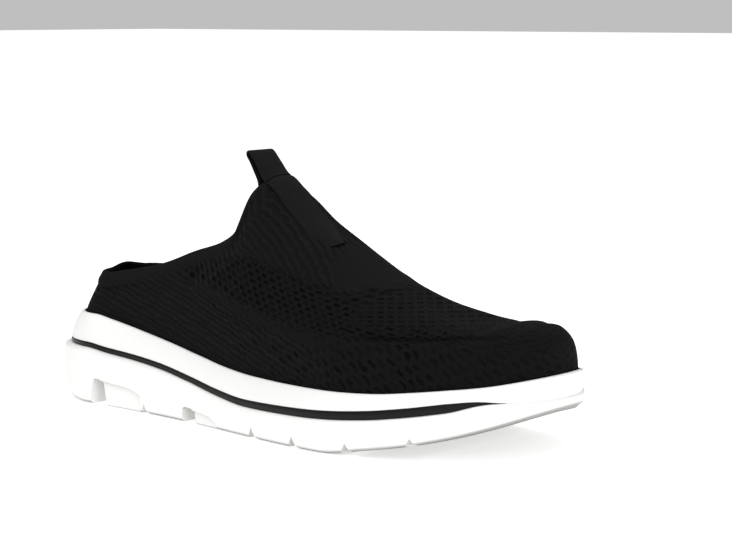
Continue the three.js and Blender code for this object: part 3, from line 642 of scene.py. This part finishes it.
# Where each pattern of the knit lies: shares from 0 to 1 for every point of the mesh, by its
# place along the shoe, its height and how far it is below the top edge.
points = rings.reshape(-1, 3)[source]
row_of = source % rows
x, y, z = points.T
outside = row_of < WALL_ROWS + BAND_ROWS
foot_line = np.linalg.norm(np.diff(np.concatenate([rings[:, 0], rings[:1, 0]]), axis=0), axis=1)
along_foot = np.concatenate([[0], np.cumsum(foot_line)[:-1]])
along_foot = np.abs(along_foot - along_foot[np.argmin(rings[:, 0, 0])])
around = along_foot[source // rows]
arc = np.where(outside, np.concatenate([wall_t, band_t], axis=1)[
    source // rows, np.minimum(row_of, WALL_ROWS + BAND_ROWS - 1)], 1.0)
below_edge = (1 - arc) * total[source // rows, 0]
fore = np.maximum(x - 100, 0)
across_ribs = (z + 0.29 * (x - 110) + 0.0002 * (x - 110) ** 2
               + 0.0125 * np.maximum(z - 48, 0) * fore)
along_ribs = np.where(x > 200, around - around[np.argmin(np.abs(x - 200))] + 200, x) - 0.25 * z
# The belt of eyelets lies between two heights, in straight rows ahead of the tape's end. The
# plain panel beside the tape lies above a third.
EYELETS = {
    "at":  [88, 98, 108, 121, 135, 146, 159, 175, 193, 209, 223, 236, 248, 262],
    "low": [66, 65, 64.5, 62, 59, 56, 53.3, 50.8, 48.8, 49.5, 50.1, 50.3, 51.2, 52.5],
    "top": [68, 71, 75, 77, 77, 75, 71, 67, 62.5, 90, 90, 90, 90, 90],
}
low = np.interp(x, EYELETS["at"], EYELETS["low"])
top = np.interp(x, EYELETS["at"], EYELETS["top"])
belt = (ease((z - low) / 1.6 + 0.5) * ease((top - z) / 1.6 + 0.5)
        * ease((x - 88) / 14) * ease((262 - x) / 22))
ordered = ease((x - 197) / 8) * ease((z - 52.5) / 3)
PLAIN = {
    "at":  [140, 152, 160, 168, 175, 184, 197, 203],
    "low": [125, 118, 104, 88, 75, 67.5, 66.5, 66],
}
plain_low = np.interp(x, PLAIN["at"], PLAIN["low"])
plain = ease((z - plain_low) / 3 + 0.5) * ease((202 - x) / 4) * ease((x - 134) / 6)
open_edge = outside * ~closed[source // rows, 0]
rolled = ease((6.4 - below_edge) / 2) * open_edge * ease((150 - x) / 12)
rolled = np.where(outside, rolled, 1.0)
below_roll = open_edge * (1 - rolled) * (1 - plain)
short = below_roll * ease((18 - below_edge) / 6) * ease((142 - x) / 10) * ease((x - 98) / 14)
waves = ((1 - plain) * (1 - rolled) * (1 - short) * outside * ease((z - top - 1) / 3)
         * ease((x - 118) / 12) * ease((205 - x) / 10) * (1 - 0.45 * ease((z - 88) / 12)))
quarter = (1 - belt) * (1 - plain) * (1 - rolled) * (1 - short) * (1 - waves)
toe = ease((x - 176 + 0.8 * (z - 30)) / 30)
smooth_belt = np.exp(-((z - low + 4.5) / 2.6) ** 2) * ease((205 - x) / 20) * ease((x - 95) / 15)
ribbed = quarter * (1 - 0.9 * toe) * (1 - 0.85 * smooth_belt)
dashed = (quarter * ease((x - 132 + 1.4 * (z - 30)) / 40) * (1 - 0.55 * ease((x - 236) / 30))
          * (1 - smooth_belt))
seam = open_edge * ease((80 - x) / 30)
hem = np.exp(-((z - low + 0.4) / 0.9) ** 2) * ease((x - 205) / 12) * ease((272 - x) / 16)
seam_groove = seam * np.exp(-((below_edge - 6.2) / 0.8) ** 2)
lined = np.where(row_of < roll_last - 1, 0.0, 1.0)
swelling = 0.75 + 0.25 * np.sin(0.9 * across_ribs + 0.06 * along_ribs)
# Two coordinates on the knit, about millimetres and drawn out along its rows, and the depth of
# the pattern. `lay` holds the relief of seams and plain places, nothing, and 1 on the lining.
PATTERNS = {
    "eyelets": (0.75 * along_ribs, across_ribs, -1.6 * belt * (1 - ordered) * (1 - plain)),
    "ordered": (0.42 * (x + 0.81 * y), z + 0.1 * y - 0.08 * x, -1.5 * belt * ordered),
    "dashes": (0.4 * along_ribs, 0.7 * (across_ribs + 0.25 * along_ribs), -1.0 * dashed),
    "ribs": (0.6 * along_ribs, across_ribs, 1.35 * ribbed * swelling),
    "waves": (0.75 * (x - 0.9 * z), 0.75 * (z + 0.9 * x) + 16 * np.exp(-below_edge / 8),
              0.95 * waves),
    "short_ribs": (z, x + 0.55 * z, 0.95 * short),
    "loops": (along_ribs, across_ribs, 0.14 * (1 - rolled) + 0 * x),
    "lay": (0.25 * (plain + rolled) - 0.6 * seam_groove - 0.9 * hem, 0 * x, lined),
}
for name, columns in PATTERNS.items():
    attribute = upper.data.attributes.new(name, "FLOAT_VECTOR", "POINT")
    attribute.data.foreach_set("vector", np.stack(columns, 1).astype(np.float32).ravel())

# Flat-knitted polyester yarn: deep black and matt, with the stitches' relief in the light.
# Holes are bricks of a brick pattern whose mortar is the yarn; ribs are bands of waves. Each has
# its node, its unevenness in millimetres, its settings and its sizes in millimetres.
knit, shader = new_material("polyester_yarn_flat_knitted", Roughness=0.92, Sheen_Weight=0.01,
                            Sheen_Roughness=0.5, Specular_IOR_Level=0.04)
YARN_LOW, YARN_HIGH, YARN_INSIDE = linear("#010101"), linear("#151516"), linear("#0a0a0b")
# A wave texture at a scale of 1 has its bands 0.314 apart.
BAND_AT_SCALE_1 = 0.314
HOLES = {"Scale": 1.0, "Color1": (1, 1, 1, 1), "Color2": (0.2, 0.2, 0.2, 1), "Mortar": (0, 0, 0, 1)}
TEXTURES = {
    "eyelets": ("ShaderNodeTexBrick", 2.6, {"offset": 0.5}, {
        **HOLES, "Brick Width": 3.9, "Row Height": 3.9, "Mortar Size": 1.2, "Mortar Smooth": 0.6}),
    "ordered": ("ShaderNodeTexBrick", 0.35, {"offset": 0.0}, {
        **HOLES, "Brick Width": 2.4, "Row Height": 1.95, "Mortar Size": 0.66,
        "Mortar Smooth": 0.4}),
    "dashes": ("ShaderNodeTexBrick", 2.4, {"offset": 0.5}, {
        **HOLES, "Brick Width": 2.9, "Row Height": 2.3, "Mortar Size": 0.85, "Mortar Smooth": 0.6}),
    "ribs": ("ShaderNodeTexWave", 1.0, {"bands_direction": "Y"}, {
        "Scale": BAND_AT_SCALE_1 / 2.8, "Distortion": 3.6, "Detail Scale": 1.6}),
    "waves": ("ShaderNodeTexWave", 1.0, {"bands_direction": "Y"}, {
        "Scale": BAND_AT_SCALE_1 / 2.9, "Distortion": 3.0, "Detail Scale": 1.3}),
    "short_ribs": ("ShaderNodeTexWave", 1.0, {"bands_direction": "Y"}, {
        "Scale": BAND_AT_SCALE_1 / 3.8, "Distortion": 2.6, "Detail Scale": 1.4}),
    "loops": ("ShaderNodeTexBrick", 0.6, {"offset": 0.5}, {
        **HOLES, "Brick Width": 1.5, "Row Height": 1.1, "Mortar Size": 0.5, "Mortar Smooth": 1.0}),
}
position = add_node(knit, "ShaderNodeNewGeometry").outputs["Position"]
# Yarn lies unevenly, so every pattern is shifted to and fro by up to about a millimetre over
# some five millimetres, and its fuzz stands up in tufts of under a millimetre.
wander = add_node(knit, "ShaderNodeTexNoise", [("Vector", position), ("Scale", 210.0),
                                               ("Detail", 3.0)])
uneven = add_node(knit, "ShaderNodeVectorMath", [(0, wander.outputs["Color"]),
                                                 (1, (0.5, 0.5, 0.5))], operation="SUBTRACT")
lay = add_node(knit, "ShaderNodeAttribute", attribute_name="lay").outputs["Vector"]
lay = add_node(knit, "ShaderNodeSeparateXYZ", [("Vector", lay)])
fuzz = add_node(knit, "ShaderNodeTexNoise", [("Vector", position), ("Scale", 1400.0),
                                             ("Detail", 3.0)])
relief = add_node(knit, "ShaderNodeMath", [(0, fuzz.outputs["Fac"]), (1, 0.30),
                                           (2, lay.outputs["X"])],
                  operation="MULTIPLY_ADD").outputs["Value"]
for name, (kind, shift, settings, inputs) in TEXTURES.items():
    own = add_node(knit, "ShaderNodeAttribute", attribute_name=name).outputs["Vector"]
    laid = add_node(knit, "ShaderNodeVectorMath", [(0, uneven.outputs["Vector"]),
                                                   (1, (shift,) * 3), (2, own)],
                    operation="MULTIPLY_ADD")
    texture = add_node(knit, kind, [("Vector", laid.outputs["Vector"]), *inputs.items()],
                       **settings)
    deep = add_node(knit, "ShaderNodeSeparateXYZ", [("Vector", own)]).outputs["Z"]
    relief = add_node(knit, "ShaderNodeMath", [(0, texture.outputs["Color"]), (1, deep),
                                               (2, relief)],
                      operation="MULTIPLY_ADD").outputs["Value"]
bump = add_node(knit, "ShaderNodeBump", [("Strength", 1.0), ("Distance", 0.0015),
                                         ("Height", relief)])
knit.node_tree.links.new(bump.outputs["Normal"], shader.inputs["Normal"])
# The deeper the yarn lies, the less light gets out of it again; a hole is all but black.
height = add_node(knit, "ShaderNodeMapRange", [("Value", relief), ("From Min", -0.9),
                                               ("From Max", 0.75)])
yarn = add_node(knit, "ShaderNodeMix", [("Factor", height.outputs["Result"]), ("A", YARN_LOW),
                                        ("B", YARN_HIGH)], data_type="RGBA")
yarn = add_node(knit, "ShaderNodeMix", [("Factor", lay.outputs["Z"]),
                                        ("A", yarn.outputs["Result"]), ("B", YARN_INSIDE)],
                data_type="RGBA")
knit.node_tree.links.new(yarn.outputs["Result"], shader.inputs["Base Color"])
upper.data.materials.append(knit)
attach(upper, "root")
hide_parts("upper")

# Tape and pull loop: one length of smooth woven polyester tape. It is sewn down the tongue,
# folded over the edge as a loop to pull the shoe on with, and sewn in again behind the edge.
TAPE_WIDTH = 17.5
TAPE_THICK = 0.8
TAPE_Y = -0.016 * BALL
TAPE_START = 0.584 * LENGTH
TAPE_LIFT = 0.02
TAPE_EDGE = 0.6
TAPE_END_ROUND, TAPE_END_LENGTH = 4.5, 14.0
OVER_BAND = 1.6 * BAND_STEP
TONGUE_STATIONS, LOOP_STATIONS, TAPE_ACROSS = 34, 40, 15
# The loop as shares of its reach back and its rise, and its end behind the edge as shares of a
# length forward and of the edge's thickness down.
LOOP_REACH, LOOP_RISE, TUCK_REACH = 10.8, 11.7, 14
LOOP = [(.10, .14), (.40, .45), (.70, .77), (.87, .94), (.98, 1.0), (1.02, .89), (.86, .63),
        (.60, .33), (.38, .05), (.32, -.25)]
TUCK = [(-.25, 1.25), (-.10, 1.62), (.15, 1.60), (.55, 1.40), (1.0, 1.35)]


def last_height(x, y, depth):
    side = np.where(y < ridge_across(x), -1, 1)
    foot_across = middle(x) + side * (half_width(side, x) - seat_inset(x) - depth)
    out = np.abs((y - ridge_across(x)) / (foot_across - ridge_across(x)))
    foot = bed_height(x) + FIT
    full, rise = last["full"](x / LENGTH), last["rise"](x / LENGTH)
    return foot + (ridge_height(x) - depth - foot) * (1 - out ** full) ** (1 / rise)


def ridge_slope(x):
    return float(last_height(x + 1, TAPE_Y, 0) - last_height(x - 1, TAPE_Y, 0)) / 2


stations = []
for x in np.linspace(TAPE_START, throat_x + 1, TONGUE_STATIONS):
    to_band = (throat_x + 1.8 * COLLAR_BAND - x) / (0.6 * COLLAR_BAND)
    lift = TAPE_LIFT + OVER_BAND * float(ease(to_band)) + TAPE_THICK / 2
    lift *= math.hypot(1, ridge_slope(x))
    stations.append((x, float(last_height(x, TAPE_Y, 0)) + lift, x, 0.0, 1.0))
corner_z = stations[-1][1]
knots = [(throat_x + 1, corner_z, 1.0)]
knots += [(throat_x - a * LOOP_REACH, corner_z + b * LOOP_RISE, 1 - float(ease(b * 1.5)))
          for a, b in LOOP]
steps = [math.dist(p[:2], q[:2]) for p, q in zip(knots, knots[1:])]
spacing = np.concatenate([[0], np.cumsum(steps)])
loop = curves({"at": spacing, "x": [k[0] for k in knots], "z": [k[1] for k in knots],
               "drape": [k[2] for k in knots]})
for s in np.linspace(0, spacing[-1], LOOP_STATIONS)[1:]:
    stations.append((float(loop["x"](s)), float(loop["z"](s)), throat_x, 0.0,
                     float(loop["drape"](s))))
for a, b in TUCK:
    over = throat_x + max(0, a) * TUCK_REACH
    down = b * COLLAR_WALL * math.hypot(1, ridge_slope(over) if a > 0 else 0)
    stations.append((throat_x + a * TUCK_REACH, float(last_height(over, TAPE_Y, 0)) - down,
                     over, COLLAR_WALL, 1.0))
shares = np.linspace(-0.5, 0.5, TAPE_ACROSS)
# The edges are rounded, so that the tape thins out over the last 0.6 mm of its width.
from_edge = (0.5 - np.abs(shares)) * TAPE_WIDTH
half_thick = TAPE_THICK / 2 * np.clip(from_edge / TAPE_EDGE, 0.35, 1) ** 0.5
tape_rings = []
for k, (x, z, over, depth, drape) in enumerate(stations):
    before, after = stations[max(0, k - 1)], stations[min(len(stations) - 1, k + 1)]
    run = np.array([after[0] - before[0], after[1] - before[1]])
    run /= np.linalg.norm(run)
    y = TAPE_Y + shares * TAPE_WIDTH
    across_z = last_height(np.full(TAPE_ACROSS, over), y, depth)
    drop = drape * (across_z - float(last_height(over, TAPE_Y, depth)))
    at_end = float(ease(1 - (TAPE_START - x) / TAPE_END_LENGTH))
    rounded = TAPE_END_ROUND * (2 * shares) ** 2 * at_end
    top = np.stack([x + half_thick * run[1] - rounded, y, z + drop - half_thick * run[0]], 1)
    under = np.stack([x - half_thick * run[1] - rounded, y, z + drop + half_thick * run[0]], 1)
    tape_rings.append(np.concatenate([top, under[::-1], top[:1]]))
tape_rings = np.array(tape_rings)
count, rows = tape_rings.shape[:2]
faces = strips(count, rows, wraps=False)
faces += [list(range(rows - 1))[::-1], [(count - 1) * rows + j for j in range(rows - 1)]]
tape, _ = mesh_object("pull_tape", tape_rings, faces)
bake_modifiers(tape, sharp_degrees=60)
# Woven polyester tape: finer and smoother than the knit, so it looks a shade lighter. The weave
# is too fine to make out and only breaks up the light.
webbing, shader = new_material("polyester_tape_woven", Base_Color=linear("#101011"), Roughness=0.8,
                               Sheen_Weight=0.01, Specular_IOR_Level=0.08)
weave = add_node(webbing, "ShaderNodeTexNoise", [("Scale", 1500.0), ("Detail", 2.0)])
bump = add_node(webbing, "ShaderNodeBump", [("Strength", 0.25), ("Distance", 0.0002),
                                            ("Height", weave.outputs["Fac"])])
webbing.node_tree.links.new(bump.outputs["Normal"], shader.inputs["Normal"])
tape.data.materials.append(webbing)
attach(tape, "root")
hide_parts("pull_strap")

# Sewing: black polyester thread. One row of short machine stitches holds the end of the tape and
# another the root of the loop, both drawn down into the tape.
THREAD, PROUD = 0.3, 0.12
corners = [(-THREAD, -THREAD), (THREAD, -THREAD), (THREAD, PROUD), (-THREAD, PROUD)]
stitches, sides = [], []
for k in (0, TONGUE_STATIONS - 1):
    line = tape_rings[k, :TAPE_ACROSS]
    ahead = tape_rings[k, TAPE_ACROSS // 2] - tape_rings[k + 1, TAPE_ACROSS // 2]
    ahead /= np.linalg.norm(ahead)
    for a, b in zip(line[:-1], line[1:]):
        run = b - a
        up = np.cross(ahead, run / np.linalg.norm(run))
        for along in (0.1, 0.9):
            for wide, high in corners:
                stitches.append(a + along * run + wide * ahead + high * up * np.sign(up[2]))
        n = len(stitches) - 8
        sides += [(n, n + 1, n + 2, n + 3), (n + 7, n + 6, n + 5, n + 4)]
        sides += [(n + i, n + 4 + i, n + 4 + (i + 1) % 4, n + (i + 1) % 4) for i in range(4)]
sewing, _ = mesh_object("sewing_thread", stitches, sides)
# Black polyester thread, sunk in the tape; its near-black colour also paints the shadow of the gap
# at the tape's end and at the loop's root, so that it shows as a dark line.
thread, _ = new_material("polyester_thread_painted_shade", Base_Color=linear("#040404"), Roughness=0.9,
                         Specular_IOR_Level=0.02)
sewing.data.materials.append(thread)
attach(sewing, "root")

# Studio: a plain white table under large soft lights, with the camera a metre away to the front
# of the outer side.
bpy.ops.mesh.primitive_plane_add(size=30)
floor = bpy.context.object
floor.name = "studio_floor"
# White translucent acrylic lit from below too, so that it stays white up to the shoe.
acrylic, _ = new_material("acrylic_light_table_white", Base_Color=linear("#f6f6f6"),
                          Roughness=1.0, Specular_IOR_Level=0.0, Emission_Color=(1, 1, 1, 1),
                          Emission_Strength=0.54)
floor.data.materials.append(acrylic)

world = bpy.data.worlds.new("studio_light")
bpy.context.scene.world = world
world.use_nodes = True
world.node_tree.nodes["Background"].inputs["Color"].default_value = (1, 1, 1, 1)
world.node_tree.nodes["Background"].inputs["Strength"].default_value = 0.52


def softbox(name, place, target, size, watts):
    data = bpy.data.lights.new(name, "AREA")
    data.shape, data.size, data.energy = "SQUARE", size, watts
    lamp = bpy.data.objects.new(name, data)
    bpy.context.scene.collection.objects.link(lamp)
    direction = np.array(target) - np.array(place)
    lamp.location = place
    lamp.rotation_euler = Vector(direction).to_track_quat("-Z", "Y").to_euler()


softbox("softbox_over", (-0.2, -0.4, 1.2), (0, 0, 0), 1.6, 9)
softbox("softbox_side", (0.7, -1.4, 0.8), (0, 0, 0.03), 1.2, 5)
softbox("softbox_front", (1.4, -0.4, 0.5), (0, 0, 0.03), 0.9, 8)

camera = bpy.data.objects.new("camera", bpy.data.cameras.new("camera"))
bpy.context.scene.collection.objects.link(camera)
camera.data.sensor_width = 36.0
camera.data.lens = 100.05
stand = (0.61396, -0.70959, 0.18994)
turn, tilt = math.radians(39.0), math.radians(7.38)
back_axis = (math.sin(turn) * math.cos(tilt), -math.cos(turn) * math.cos(tilt), math.sin(tilt))
right_axis = (math.cos(turn), math.sin(turn), 0.0)
up_axis = np.cross(back_axis, right_axis)
camera.matrix_world = Matrix([
    [right_axis[0], up_axis[0], back_axis[0], stand[0]],
    [right_axis[1], up_axis[1], back_axis[1], stand[1]],
    [right_axis[2], up_axis[2], back_axis[2], stand[2]],
    [0, 0, 0, 1]])
bpy.context.scene.camera = camera
bpy.context.scene.view_settings.view_transform = "Standard"
